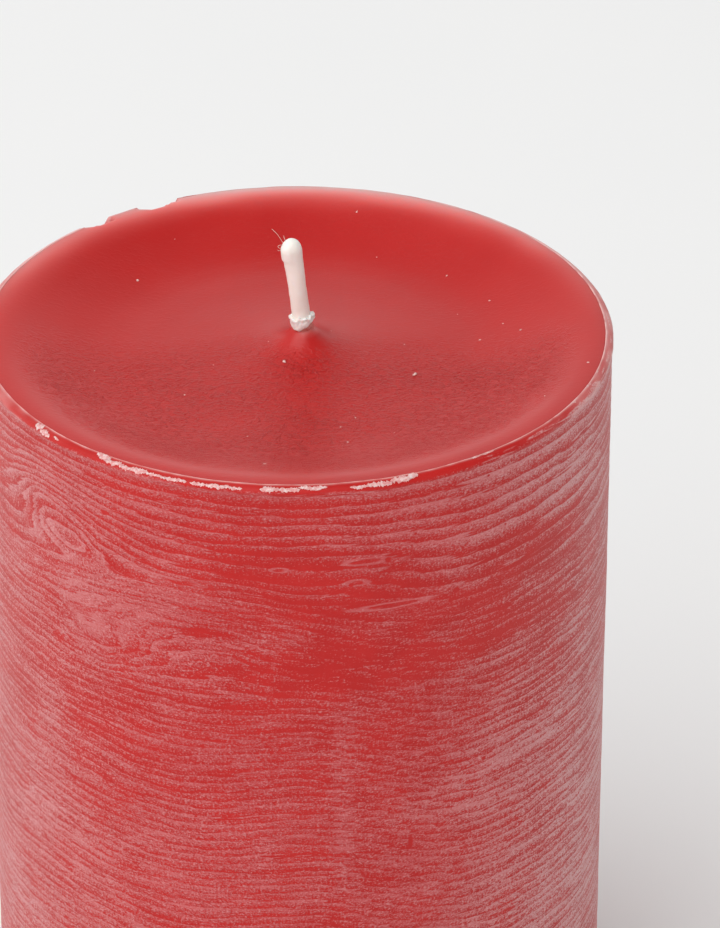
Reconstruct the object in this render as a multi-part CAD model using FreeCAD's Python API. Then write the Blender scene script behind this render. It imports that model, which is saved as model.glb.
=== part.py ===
# Poured pillar candle, double cast: a thin frosted first pour that froze against the mould,
# a second pour that fills it, and a primed cotton wick held by a tinplate tab in the base.
# Millimetres. +Z is up along the candle's axis, the origin is the centre of the base.
import FreeCAD, Part
import math
import os

os.makedirs("parts", exist_ok=True)
V = FreeCAD.Vector

# ---- driving dimensions -------------------------------------------------------------
BODY_R = 34.85            # frosted wall
LIP_R = 35.0              # bead at the top of the wall
HEIGHT = 100.0            # base to the ridge of the lip
SHELL_IN_R = 34.1         # joint between the first and the second pour
RIDGE_W = 0.08            # flat left on the ridge of the lip
BEVEL_Z = 99.62           # where the outward bevel of the lip starts to round over
BEVEL_R = 34.86
BEAD_Z = 99.32            # widest point of the bead
BEAD_LOW_Z = 98.9         # bead runs out into the wall here
BASE_ROUND = 0.4          # mould radius at the bottom edge

DISH_EDGE_Z = 99.93       # second pour where it meets the ridge
# brim, slope of the dish and its bottom
DISH = [(34.1, 99.93), (33.3, 99.90), (32.4, 99.80), (31.4, 99.58), (30.0, 99.16), (28.0, 98.48),
        (26.0, 97.80), (24.0, 97.20), (22.0, 96.78), (19.5, 96.56)]
DISH_FLAT_R = 17.5        # trough around the cone
DISH_Z = 96.53
# broad low cone that rises to the wick
CONE = [(16.5, 96.53), (12.0, 96.80), (9.0, 97.10), (7.0, 97.38), (5.2, 97.76), (3.8, 98.22),
        (2.7, 98.80), (1.9, 99.40), (1.4, 99.90)]
CONE_TOP_R = 1.15
CONE_TOP_Z = 100.15

FOOT_IN_R = 26.0          # annular foot the candle stands on
RECESS_R = 25.4
RECESS_Z = 0.6            # levelled hollow in the base

WICK_R = 1.03             # waxed wick
BRAID_R = 0.78            # cotton braid inside its primer wax
WICK_X = 0.92             # where the wick crosses the cone, off the body's axis
WICK_LOW_Z = 12.0         # wick runs straight up out of its tab to here
KINK_Z = 98.0             # it bends here, inside the cone
KINK_X = 1.08
LEAN_DEG = 6.93           # lean of the free end, towards -X
WICK_TIP_Z = 111.15

TAB_R = 9.0
TAB_T = 0.3
NECK_R = 1.33
NECK_Z = 6.6
FLARE_R = 2.35
FLARE_Z = 2.2
BEAD_RING_R = 5.9         # stiffening ring pressed in the tab
BEAD_RING_W = 0.9
BEAD_RING_H = 0.3


def revolve(points, x=0.0, lean=0.0, pivot_z=0.0):
    """Solid of revolution from a closed list of (r, z) corners, about a vertical axis at x."""
    pts = [V(r, 0, z) for r, z in points]
    pts.append(pts[0])
    face = Part.Face(Part.makePolygon(pts))
    solid = face.revolve(V(0, 0, 0), V(0, 0, 1), 360)
    solid.translate(V(x, 0, 0))
    return solid


def revolve_edges(edges, x=0.0):
    face = Part.Face(Part.Wire(edges))
    solid = face.revolve(V(0, 0, 0), V(0, 0, 1), 360)
    solid.translate(V(x, 0, 0))
    return solid


def line(a, b):
    return Part.makeLine(V(a[0], 0, a[1]), V(b[0], 0, b[1]))


def arc(a, m, b):
    return Part.Arc(V(a[0], 0, a[1]), V(m[0], 0, m[1]), V(b[0], 0, b[1])).toShape()


def spline(points, start=None, end=None):
    curve = Part.BSplineCurve()
    vs = [V(r, 0, z) for r, z in points]
    if start and end:
        curve.interpolate(vs, InitialTangent=V(start[0], 0, start[1]), FinalTangent=V(end[0], 0, end[1]))
    else:
        curve.interpolate(vs)
    return curve.toShape()


def one_solid(shape, name):
    solids = shape.Solids
    if len(solids) != 1:
        raise RuntimeError("%s has %d solids" % (name, len(solids)))
    s = solids[0]
    if not s.isValid():
        s.fix(1e-5, 1e-5, 1e-5)
    return s


def export(shape, name):
    s = one_solid(shape, name)
    s.exportStep("parts/%s.step" % name)
    b = s.BoundBox
    print("%-18s vol %10.3f mm3  x %.2f..%.2f  y %.2f..%.2f  z %.3f..%.3f  valid %s"
          % (name, s.Volume, b.XMin, b.XMax, b.YMin, b.YMax, b.ZMin, b.ZMax, s.isValid()))
    return s


# ---- wick path, in the XZ plane ---------------------------------------------------------
def bend(p0, p1, p2, radius):
    """Tangent points and midpoint of a fillet arc at p1 between p0 and p2, all (x, z)."""
    ux, uz = p0[0] - p1[0], p0[1] - p1[1]
    vx, vz = p2[0] - p1[0], p2[1] - p1[1]
    lu, lv = math.hypot(ux, uz), math.hypot(vx, vz)
    ux, uz, vx, vz = ux / lu, uz / lu, vx / lv, vz / lv
    inner = math.acos(max(-1.0, min(1.0, ux * vx + uz * vz)))
    t = radius / math.tan(inner / 2)
    a = (p1[0] + ux * t, p1[1] + uz * t)
    b = (p1[0] + vx * t, p1[1] + vz * t)
    bx, bz = ux + vx, uz + vz
    lb = math.hypot(bx, bz)
    bx, bz = bx / lb, bz / lb
    d = radius / math.sin(inner / 2) - radius
    return a, (p1[0] + bx * d, p1[1] + bz * d), b


lean = math.radians(LEAN_DEG)
tip_c_z = WICK_TIP_Z - WICK_R
foot = (0.0, RECESS_Z)
low = (0.0, WICK_LOW_Z)
kink = (KINK_X, KINK_Z)
tip = (KINK_X - math.tan(lean) * (tip_c_z - KINK_Z), tip_c_z)
a1, m1, b1 = bend(foot, low, kink, 60.0)
a2, m2, b2 = bend(low, kink, tip, 12.0)


def wick_wire(end):
    return Part.Wire([line(foot, a1), arc(a1, m1, b1), line(b1, a2), arc(a2, m2, b2), line(b2, end)])


def swept(radius, end):
    profile = Part.Wire([Part.makeCircle(radius, V(0, 0, RECESS_Z), V(0, 0, 1))])
    return wick_wire(end).makePipeShell([profile], True, True)


lean_dir = V(-math.sin(lean), 0, math.cos(lean))
braid = one_solid(swept(BRAID_R, tip), "braid")
dome = Part.makeSphere(WICK_R, V(tip[0], 0, tip[1]))
waxed = one_solid(one_solid(swept(WICK_R, tip), "waxed wick").fuse(dome).removeSplitter(), "waxed wick")

# ---- tinplate wick tab, let in flush with the hollow of the base -------------------------
z0 = RECESS_Z
rb, wb, hb = BEAD_RING_R, BEAD_RING_W, BEAD_RING_H
tab = revolve([
    (2.05, z0), (rb - wb, z0), (rb - wb / 2, z0 + hb), (rb + wb / 2, z0 + hb), (rb + wb, z0), (TAB_R, z0),
    (TAB_R, z0 + TAB_T), (rb + wb + 0.06, z0 + TAB_T), (rb + wb / 2 + 0.1, z0 + TAB_T + hb),
    (rb - wb / 2 - 0.1, z0 + TAB_T + hb), (rb - wb - 0.06, z0 + TAB_T), (FLARE_R, z0 + TAB_T),
    (NECK_R, FLARE_Z), (NECK_R, NECK_Z), (WICK_R, NECK_Z), (WICK_R, FLARE_Z - 0.35),
])

# ---- first pour: frosted wall and bevelled lip -------------------------------------------
r = BASE_ROUND
k = math.sqrt(0.5)
shell = revolve_edges([
    line((SHELL_IN_R, 0), (BODY_R - r, 0)),
    arc((BODY_R - r, 0), (BODY_R - r + r * k, r - r * k), (BODY_R, r)),
    line((BODY_R, r), (BODY_R, BEAD_LOW_Z)),
    line((BODY_R, BEAD_LOW_Z), (LIP_R, BEAD_Z)),
    arc((LIP_R, BEAD_Z), (LIP_R - 0.03, BEVEL_Z - 0.13), (BEVEL_R, BEVEL_Z)),
    line((BEVEL_R, BEVEL_Z), (SHELL_IN_R + RIDGE_W, HEIGHT)),
    line((SHELL_IN_R + RIDGE_W, HEIGHT), (SHELL_IN_R, HEIGHT)),
    line((SHELL_IN_R, HEIGHT), (SHELL_IN_R, 0)),
])

# ---- second pour: dished top, cone at the wick, hollow base ---------------------------------
core_body = revolve_edges([
    line((0, RECESS_Z), (RECESS_R, RECESS_Z)),
    line((RECESS_R, RECESS_Z), (FOOT_IN_R, 0)),
    line((FOOT_IN_R, 0), (SHELL_IN_R, 0)),
    line((SHELL_IN_R, 0), (SHELL_IN_R, DISH_EDGE_Z)),
    spline(DISH + [(DISH_FLAT_R, DISH_Z)], (-1.0, -0.03), (-1.0, 0.0)),
    line((DISH_FLAT_R, DISH_Z), (0, DISH_Z)),
    line((0, DISH_Z), (0, RECESS_Z)),
])
cone = revolve_edges([
    line((0, DISH_Z - 3.0), (CONE[0][0], DISH_Z - 3.0)),
    line((CONE[0][0], DISH_Z - 3.0), CONE[0]),
    spline(CONE + [(CONE_TOP_R, CONE_TOP_Z)], (-1.0, 0.0), (-0.35, 1.0)),
    line((CONE_TOP_R, CONE_TOP_Z), (0, CONE_TOP_Z)),
    line((0, CONE_TOP_Z), (0, DISH_Z - 3.0)),
], x=WICK_X)
core = core_body.fuse(cone).removeSplitter()
core = core.cut(waxed).cut(tab)
# the pressed ring and the flared neck stay open underneath, so only the poured body is kept
core = max(core.Solids, key=lambda s: s.Volume)

# ---- rough cuff of pale wax at the foot of the free wick ---------------------------------------
cuff = revolve([
    (0.0, 99.7), (1.2, 99.72), (1.3, 100.3), (1.38, 101.0), (1.44, 101.5), (1.3, 101.95), (1.12, 102.3), (0.0, 102.38),
])
cuff.translate(V(0, 0, -KINK_Z))
cuff.rotate(V(0, 0, 0), V(0, 1, 0), -LEAN_DEG)
cuff.translate(V(KINK_X, 0, KINK_Z))
cuff = cuff.cut(waxed).cut(core_body.fuse(cone))

coat = waxed.cut(braid)

total = 0.0
for name, shape in (
    ("outer_wax_shell", shell),
    ("inner_wax_core", core),
    ("wick_braid", braid),
    ("wick_wax_coat", coat),
    ("wick_wax_collar", cuff),
    ("wick_sustainer", tab),
):
    total += export(shape, name).Volume
print("total volume %.1f mm3" % total)
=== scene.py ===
# Looks of the double-poured pillar candle: frosted wall, dished top, waxed wick.
# Lengths inside this script are millimetres until a mesh is made; the scene is in metres.
import bpy
import math
import numpy as np
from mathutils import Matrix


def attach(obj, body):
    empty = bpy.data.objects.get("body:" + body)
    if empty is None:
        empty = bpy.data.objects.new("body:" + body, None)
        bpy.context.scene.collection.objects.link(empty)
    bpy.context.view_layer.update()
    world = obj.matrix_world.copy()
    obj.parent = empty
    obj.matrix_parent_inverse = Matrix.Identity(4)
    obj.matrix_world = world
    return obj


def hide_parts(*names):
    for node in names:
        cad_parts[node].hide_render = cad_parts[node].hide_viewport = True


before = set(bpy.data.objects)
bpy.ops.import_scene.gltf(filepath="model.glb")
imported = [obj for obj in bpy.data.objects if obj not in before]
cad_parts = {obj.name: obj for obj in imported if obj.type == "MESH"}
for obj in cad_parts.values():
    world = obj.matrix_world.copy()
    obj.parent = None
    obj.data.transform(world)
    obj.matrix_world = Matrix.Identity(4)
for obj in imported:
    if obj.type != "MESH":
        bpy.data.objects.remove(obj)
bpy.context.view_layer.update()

MM = 0.001
NT = 540                       # columns around the body
RAD = math.pi / 180


# ---------------------------------------------------------------- numeric helpers
def smooth(a, b, x):
    t = np.clip((np.asarray(x, float) - a) / (b - a), 0, 1)
    return t * t * (3 - 2 * t)


def vnoise(u, v, nu, seed):
    """Smooth noise from -1 to 1. u is in turns and wraps after nu cells; v is in cells."""
    u, v = np.broadcast_arrays(np.asarray(u, float) * nu, np.asarray(v, float))
    v = v + 40.0
    g = np.random.default_rng(seed).uniform(-1, 1, (257, nu))
    iu, iv = np.floor(u).astype(int), np.floor(v).astype(int)
    fu, fv = u - iu, v - iv
    fu, fv = fu * fu * (3 - 2 * fu), fv * fv * (3 - 2 * fv)
    a, b = g[iv % 257, iu % nu], g[iv % 257, (iu + 1) % nu]
    c, d = g[(iv + 1) % 257, iu % nu], g[(iv + 1) % 257, (iu + 1) % nu]
    return (a * (1 - fu) + b * fu) * (1 - fv) + (c * (1 - fu) + d * fu) * fv


def monotone(xs, ys, x):
    """Monotone cubic through the knots, xs rising."""
    xs, ys, x = np.asarray(xs, float), np.asarray(ys, float), np.asarray(x, float)
    h, d = np.diff(xs), np.diff(ys) / np.diff(xs)
    m = np.zeros(len(xs))
    m[0], m[-1] = d[0], d[-1]
    for i in range(1, len(xs) - 1):
        if d[i - 1] * d[i] > 0:
            w1, w2 = 2 * h[i] + h[i - 1], h[i] + 2 * h[i - 1]
            m[i] = (w1 + w2) / (w1 / d[i - 1] + w2 / d[i])
    k = np.clip(np.searchsorted(xs, x) - 1, 0, len(xs) - 2)
    t = np.clip((x - xs[k]) / h[k], 0, 1)
    return (ys[k] * (2 * t**3 - 3 * t**2 + 1) + m[k] * h[k] * (t**3 - 2 * t**2 + t)
            + ys[k + 1] * (3 * t**2 - 2 * t**3) + m[k + 1] * h[k] * (t**3 - t**2))


def polar(r, th, z, cx=0.0):
    """Points of a row: th from the front (-Y) towards +X, in radians."""
    r, th, z, cx = np.broadcast_arrays(r, th, z, cx)
    return np.stack([cx + r * np.sin(th), -r * np.cos(th), z], -1)


def strip_faces(rows, cols, wrap_rows=False, start=0):
    i = np.arange(rows if wrap_rows else rows - 1)[:, None]
    j = np.arange(cols)[None, :]
    i2, j2 = (i + 1) % rows, (j + 1) % cols
    f = np.stack([i * cols + j, i * cols + j2, i2 * cols + j2, i2 * cols + j], -1).reshape(-1, 4)
    return (f + start).tolist()


def fan(row_start, cols, apex, flip=False):
    out = []
    for j in range(cols):
        a, b = row_start + j, row_start + (j + 1) % cols
        out.append((b, a, apex) if flip else (a, b, apex))
    return out


def make(name, pts, faces, mat, attrs=None, smooth_shade=True):
    me = bpy.data.meshes.new(name)
    me.from_pydata((np.asarray(pts, float).reshape(-1, 3) * MM).tolist(), [], faces)
    for key, val in (attrs or {}).items():
        at = me.attributes.new(key, "FLOAT", "POINT")
        at.data.foreach_set("value", np.asarray(val, np.float32).ravel())
    me.materials.append(mat)
    me.polygons.foreach_set("use_smooth", [smooth_shade] * len(me.polygons))
    me.validate()
    me.update()
    # outward normals
    import bmesh
    bm = bmesh.new()
    bm.from_mesh(me)
    bmesh.ops.recalc_face_normals(bm, faces=bm.faces)
    bm.to_mesh(me)
    bm.free()
    ob = bpy.data.objects.new(name, me)
    bpy.context.scene.collection.objects.link(ob)
    return ob


# ---------------------------------------------------------------- material helper
def lin(r, g, b):
    out = []
    for c in (r, g, b):
        c = c / 255.0
        out.append(c / 12.92 if c <= 0.04045 else ((c + 0.055) / 1.055) ** 2.4)
    return tuple(out) + (1.0,)


class Mat:
    def __init__(self, name):
        self.m = bpy.data.materials.new(name)
        self.m.use_nodes = True
        self.t = self.m.node_tree
        self.t.nodes.clear()
        self.out = self.t.nodes.new("ShaderNodeOutputMaterial")
        self._pos = None

    def put(self, sock, v):
        if isinstance(v, bpy.types.NodeSocket):
            self.t.links.new(v, sock)
        elif v is not None:
            sock.default_value = v

    def pos(self):
        """Place on the object in millimetres."""
        if self._pos is None:
            tc = self.t.nodes.new("ShaderNodeTexCoord")
            self._pos = self.vec("SCALE", tc.outputs["Object"], scale=1000.0)
        return self._pos

    def vec(self, op, a, b=None, scale=None):
        n = self.t.nodes.new("ShaderNodeVectorMath")
        n.operation = op
        self.put(n.inputs[0], a)
        if b is not None:
            self.put(n.inputs[1], b)
        if scale is not None:
            self.put(n.inputs["Scale"], scale)
        return n.outputs[0]

    def xyz(self, v):
        n = self.t.nodes.new("ShaderNodeSeparateXYZ")
        self.put(n.inputs[0], v)
        return n.outputs

    def comb(self, x, y, z):
        n = self.t.nodes.new("ShaderNodeCombineXYZ")
        for s, v in zip(n.inputs, (x, y, z)):
            self.put(s, v)
        return n.outputs[0]

    def op(self, op, a, b=None, c=None, clamp=False):
        n = self.t.nodes.new("ShaderNodeMath")
        n.operation = op
        n.use_clamp = clamp
        self.put(n.inputs[0], a)
        if b is not None:
            self.put(n.inputs[1], b)
        if c is not None:
            self.put(n.inputs[2], c)
        return n.outputs[0]

    def step(self, v, a, b, lo=0.0, hi=1.0):
        n = self.t.nodes.new("ShaderNodeMapRange")
        n.interpolation_type = "SMOOTHSTEP"
        for key, val in zip(("Value", "From Min", "From Max", "To Min", "To Max"), (v, a, b, lo, hi)):
            self.put(n.inputs[key], val)
        return n.outputs[0]

    def noise(self, v, scale=1.0, detail=2.0, rough=0.5, distort=0.0):
        n = self.t.nodes.new("ShaderNodeTexNoise")
        self.put(n.inputs["Vector"], v)
        n.inputs["Scale"].default_value = scale
        n.inputs["Detail"].default_value = detail
        n.inputs["Roughness"].default_value = rough
        n.inputs["Distortion"].default_value = distort
        return n.outputs[0]

    def cells(self, v, scale=1.0, random=1.0):
        n = self.t.nodes.new("ShaderNodeTexVoronoi")
        self.put(n.inputs["Vector"], v)
        n.inputs["Scale"].default_value = scale
        n.inputs["Randomness"].default_value = random
        return n.outputs["Distance"]

    def attr(self, name):
        n = self.t.nodes.new("ShaderNodeAttribute")
        n.attribute_name = name
        return n.outputs["Fac"]

    def mix(self, f, a, b):
        n = self.t.nodes.new("ShaderNodeMix")
        n.data_type = "RGBA"
        n.clamp_factor = True
        self.put(n.inputs[0], f)
        self.put(n.inputs[6], a)
        self.put(n.inputs[7], b)
        return n.outputs[2]

    def fmix(self, f, a, b):
        n = self.t.nodes.new("ShaderNodeMix")
        n.data_type = "FLOAT"
        n.clamp_factor = True
        self.put(n.inputs[0], f)
        self.put(n.inputs[2], a)
        self.put(n.inputs[3], b)
        return n.outputs[0]

    def bump(self, h, dist, strength=1.0, normal=None):
        n = self.t.nodes.new("ShaderNodeBump")
        n.inputs["Strength"].default_value = strength
        n.inputs["Distance"].default_value = dist * MM
        self.put(n.inputs["Height"], h)
        if normal is not None:
            self.put(n.inputs["Normal"], normal)
        return n.outputs[0]

    def wax(self, colour, rough, sss=0.0, radius=(1, 1, 1), ior=1.44, normal=None, spec=0.5, sheen=0.0,
            sheen_rough=0.5, metallic=0.0, sheen_tint=(1, 1, 1, 1), coat=0.0):
        n = self.t.nodes.new("ShaderNodeBsdfPrincipled")
        self.put(n.inputs["Base Color"], colour)
        self.put(n.inputs["Roughness"], rough)
        n.inputs["IOR"].default_value = ior
        n.inputs["Specular IOR Level"].default_value = spec
        n.inputs["Metallic"].default_value = metallic
        n.inputs["Sheen Weight"].default_value = sheen
        n.inputs["Sheen Roughness"].default_value = sheen_rough
        n.inputs["Sheen Tint"].default_value = sheen_tint
        n.inputs["Coat Weight"].default_value = coat
        if sss:
            n.subsurface_method = "RANDOM_WALK"
            n.inputs["Subsurface Weight"].default_value = sss
            n.inputs["Subsurface Radius"].default_value = radius
            n.inputs["Subsurface Scale"].default_value = MM
        if normal is not None:
            self.put(n.inputs["Normal"], normal)
        self.t.links.new(n.outputs[0], self.out.inputs[0])
        return self.m


# ---------------------------------------------------------------- shape of the top
# dished top: steep between r 22 and 31, a broad low cone in the middle, a flat brim
DISH_R = [1.15, 1.4, 1.9, 2.7, 3.8, 5.2, 7.0, 9.0, 12.0, 16.0, 19.5, 22.0, 24.0, 26.0, 28.0, 30.0, 31.4, 32.4,
          33.3, 34.1]
DISH_Z = [100.15, 99.9, 99.4, 98.8, 98.22, 97.76, 97.38, 97.10, 96.80, 96.57, 96.54, 96.78, 97.20, 97.80, 98.48,
          99.16, 99.58, 99.80, 99.90, 99.93]
WICK_X = 0.92


def notch_edge(th):
    """Radius inside which the brim is whole: two bites are broken out of the lip at the back left."""
    d = th / RAD
    d = np.where(d > 180, d - 360, d)
    j = 0.16 * vnoise(th / (2 * math.pi), 3.1, 300, 71) + 0.10 * vnoise(th / (2 * math.pi), 9.4, 520, 72)
    a = 34.9 - 1.45 * smooth(-134.2, -135.0, d) * smooth(-141.3, -140.7, d) + 0.22 * smooth(-138, -135, d)
    b = 34.9 - (1.35 + 0.5 * np.exp(-((d + 151.0) / 2.0) ** 2)) * smooth(-147.2, -148.2, d) * smooth(-156.3, -155.6, d)
    c = 34.9 - 0.55 * smooth(-156, -156.6, d) * smooth(-159.6, -158.6, d)
    e = np.minimum(np.minimum(a, b), c)
    return np.where(e < 34.88, e + j, 40.0)


def bitten(r, th, z):
    e = notch_edge(th)
    drop = 99.72 - 0.34 * (r - e) - 0.42 * smooth(-0.12, 0.22, r - e)
    return np.where(r > e - 0.12, np.minimum(z, np.maximum(drop, 98.3)), z)


def turn(th):
    return th / (2 * math.pi)


def brim_wave(th):
    return 0.05 * vnoise(turn(th), 1.7, 14, 5) + 0.03 * vnoise(turn(th), 8.2, 37, 6)


theta = np.linspace(0, 2 * math.pi, NT, endpoint=False)
signed = np.where(theta > math.pi, theta - 2 * math.pi, theta)
deg = signed / RAD
arc = signed * 35.0

# ---------------------------------------------------------------- frosted wall
# half-shell profile, from the hidden root of the lip out over the ridge and down the wall
lip = np.array([
    (33.60, 99.20), (33.98, 99.62), (34.06, 99.86), (34.10, 99.96), (34.135, 100.0), (34.185, 99.975),
    (34.27, 99.915), (34.40, 99.86), (34.55, 99.79), (34.70, 99.70), (34.83, 99.59), (34.93, 99.46), (34.985, 99.32),
    (34.985, 99.18), (34.94, 99.04), (34.89, 98.92), (34.86, 98.80),
])
wall_t = np.concatenate([np.arange(1.5, 17, 0.34), np.arange(17, 52, 0.56), np.arange(52, 99.0, 1.25), [99.35]])
wall = np.stack([np.full(len(wall_t), 34.85), 100 - wall_t], -1)
foot = np.array([(34.83, 0.46), (34.79, 0.28), (34.70, 0.13), (34.57, 0.04), (34.42, 0.0), (34.12, 0.0),
                 (33.6, 0.5), (31.5, 4.0), (30.5, 20.0), (30.5, 50.0), (30.5, 80.0), (31.5, 96.0)])
prof = np.concatenate([lip, wall, foot])
NL, NW = len(lip), len(wall)
R = np.repeat(prof[:, :1], NT, 1)
Z = np.repeat(prof[:, 1:], NT, 1)
TH = np.repeat(signed[None, :], len(prof), 0)
T = 100 - Z
S = TH * 35.0

# the ridge fades into a rounded brim towards the back
back = smooth(104, 150, np.abs(deg))
round_lip = [(33.60, 99.20), (33.98, 99.75), (34.05, 99.90), (34.12, 99.955), (34.20, 99.935), (34.30, 99.90),
             (34.42, 99.845), (34.54, 99.775), (34.65, 99.69), (34.75, 99.595), (34.83, 99.49), (34.89, 99.37),
             (34.93, 99.24), (34.94, 99.10), (34.92, 98.99), (34.89, 98.90), (34.86, 98.80)]
for i, (r_, z_) in enumerate(round_lip):
    R[i] += (r_ - lip[i, 0]) * back
    Z[i] += (z_ - lip[i, 1]) * back
Z[3:8] += 0.03 * np.minimum(vnoise(turn(signed), 2.0, 160, 11), 0.2)
Z[4] += 0.025 * np.minimum(vnoise(turn(signed), 5.0, 420, 12), 0.0)
R[6:15] += 0.030 * vnoise(turn(TH[6:15]), T[6:15] / 0.5, 90, 13) + 0.02 * vnoise(turn(TH[6:15]), T[6:15] / 0.3, 260, 14)
R[6:15] = np.minimum(R[6:15], 35.0)

# phase of the chill rings: line positions below the lip at the middle and at the right
C_LINES = [0.9, 2.2, 3.35, 4.45, 5.75, 7.0, 8.1, 9.7, 11.7, 13.2, 14.6, 16.0, 17.4, 18.9, 20.2, 21.6, 23.0, 24.5, 26.0]
R_LINES = [0.9, 2.5, 4.2, 5.8, 7.2, 9.1, 11.0, 12.6, 14.8, 16.6, 18.2, 19.9, 21.5, 23.1, 24.8, 26.4, 28.0, 29.6, 31.0]


def wall_fields(s, t, th):
    """Phase of the rings, share of frost, weight of rings against streaks, and warped depth."""
    u = turn(th)
    d = th / RAD
    w_right = smooth(0, 38, d) * (1 - smooth(120, 178, d)) + smooth(-95, -178, d) * 0
    warp = (0.62 * vnoise(u, t / 14.0, 9, 21) + 0.30 * vnoise(u, t / 6.0, 26, 22) + 0.13 * vnoise(u, t / 2.6, 70, 23)
            + 0.05 * vnoise(u, t / 1.3, 200, 24))
    # rings near the lip are calm, deeper ones wander
    calm = 0.35 + 0.65 * smooth(2, 14, t)
    tw = t + warp * calm
    # long dip of the lines on the left flank and lift in the middle
    tw = tw - 1.1 * np.exp(-((s + 14) / 9.0) ** 2) * smooth(24, 40, t) + 0.9 * np.exp(-((s - 2) / 12.0) ** 2) * smooth(20, 34, t)
    n = len(C_LINES)
    k = np.arange(n, dtype=float)
    pc = np.interp(tw, C_LINES, k) + np.maximum(tw - C_LINES[-1], 0) / 1.5
    pr = np.interp(tw, R_LINES, k) + np.maximum(tw - R_LINES[-1], 0) / 1.5
    phase = pc * (1 - w_right) + pr * w_right
    ring = 1 - smooth(12.5, 21, t + 2.5 * vnoise(u, t / 9.0, 12, 25))
    D = 0.44 + 0.10 * w_right + 0.0 * t
    D = D - 0.13 * smooth(-14, -4, s) * (1 - smooth(12, 20, s)) * smooth(6.5, 8.5, t) * (1 - smooth(15.5, 17, t))
    D = D - 0.17 * np.exp(-((t - 22.8) / 2.0) ** 2) * smooth(-26, -18, s) * (1 - smooth(22, 32, s))
    D = D - 0.13 * np.exp(-((s - 12) / 8.0) ** 2 - ((t - 19.2 + 0.10 * (s - 12)) / 1.1) ** 2)
    D = D - 0.085 * smooth(-12, 2, s) * (1 - smooth(34, 46, s)) * smooth(10, 14, t) * (1 - smooth(24, 29, t))
    D = D - 0.10 * smooth(-32, -27, s) * (1 - smooth(-20, -14, s)) * smooth(27, 30, t) * (1 - smooth(42, 50, t))
    D = D + 0.10 * smooth(28, 52, t)
    D = D - 0.035 * smooth(-10, 4, s) * (1 - smooth(40, 60, s)) * smooth(8, 14, t) - 0.03 * smooth(9, 15, t)
    D = D + 0.09 * np.exp(-((s + 14) / 8.0) ** 2 - ((t - 6.5) / 5.0) ** 2)
    D = D - 0.05 * np.exp(-((s - 22) / 9.0) ** 2 - ((t - 19) / 7.0) ** 2) - 0.03 * np.exp(-((s - 2) / 10.0) ** 2 - ((t - 5) / 5.0) ** 2)
    D = D - 0.05 * smooth(30, 52, d) * (1 - smooth(120, 178, d))
    D = D - 0.06 * smooth(18, 30, s) * smooth(10, 14, t) * (1 - smooth(26, 34, t))
    D = D + 0.07 * vnoise(u, t / 8.0, 16, 26) + 0.05 * vnoise(u, t / 3.0, 48, 27)
    tw2 = tw

    # arch at the upper left: the layers are lifted over a knot
    sh = s + 30.4 - 0.75 * np.maximum(t - 8.0, 0)
    ex = sh / np.where(sh > 0, 8.2, 6.0)
    et = (t - 10.6) / 5.4
    rho2 = ex * ex + et * et + 0.10 * vnoise(u, t / 3.0, 50, 28) + 0.05 * vnoise(u, t / 1.4, 110, 49)
    m = np.exp(-np.maximum(rho2, 0) * 0.95) * (1 - smooth(11.5, 15.0, t))
    phase = phase + 4.3 * m
    ring = np.maximum(ring, smooth(0.2, 0.5, m))
    D = D + 0.15 * smooth(0.15, 0.6, m)
    tw2 = tw2 + 3.0 * m

    # agate lens in the middle left: the layers swell round an eye
    a = np.where(s < -10, 19.0, 11.5)
    ex, et = (s + 10) / a, (t - 18.9) / 5.4
    rho2 = ex * ex + et * et + 0.09 * vnoise(u, t / 4.0, 40, 30) + 0.03 * vnoise(u, t / 1.5, 110, 48)
    m = np.exp(-np.maximum(rho2, 0) * 1.15) * smooth(-40, -30, s)
    eye = (1 - smooth(0.5, 1.5, np.sqrt(((s + 9.6) / 2.2) ** 2 + ((t - 18.6) / 0.85) ** 2) + 0.5 * vnoise(u, t / 0.6, 130, 39)))
    phase = phase + (3.5 + 0.25 * vnoise(u, t / 2.2, 34, 46)) * m
    inside = smooth(0.18, 0.45, m)
    D = D + (0.19 - 0.46 * eye + 0.05 * vnoise(u, t / 1.1, 40, 40)) * inside
    ring = ring * (1 - 0.75 * inside)
    tw2 = tw2 + 1.6 * m

    # quarter swirl under it
    ex, et = (s + 22.5) / 6.5, (t - 22.0) / 3.6
    rho2 = ex * ex + et * et + 0.15 * vnoise(u, t / 2.0, 90, 31)
    m = np.exp(-np.maximum(rho2, 0) * 1.2)
    phase = phase - 2.6 * m
    ring = np.maximum(ring, 0.7 * smooth(0.3, 0.7, m))

    # the moulding seam: dotted columns on a paler ground
    seam = np.exp(-((s - 5.4) / 1.3) ** 2) * smooth(26, 30, t) * (1 - smooth(49, 54, t))
    D = D + 0.14 * seam
    return phase, np.clip(D, 0.02, 0.97), np.clip(ring, 0, 1), tw2, seam


PH, DN, RG, TW, SEAM = wall_fields(S, T, TH)
lip_edge = 0.74 - 0.34 * smooth(16, 34, TH / RAD) * (1 - smooth(100, 140, TH / RAD))
top_red = smooth(0.23, -0.23, T - lip_edge + 0.10 * vnoise(turn(TH), T, 120, 33))
DN = DN * (1 - top_red) + 0.03 * top_red
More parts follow.
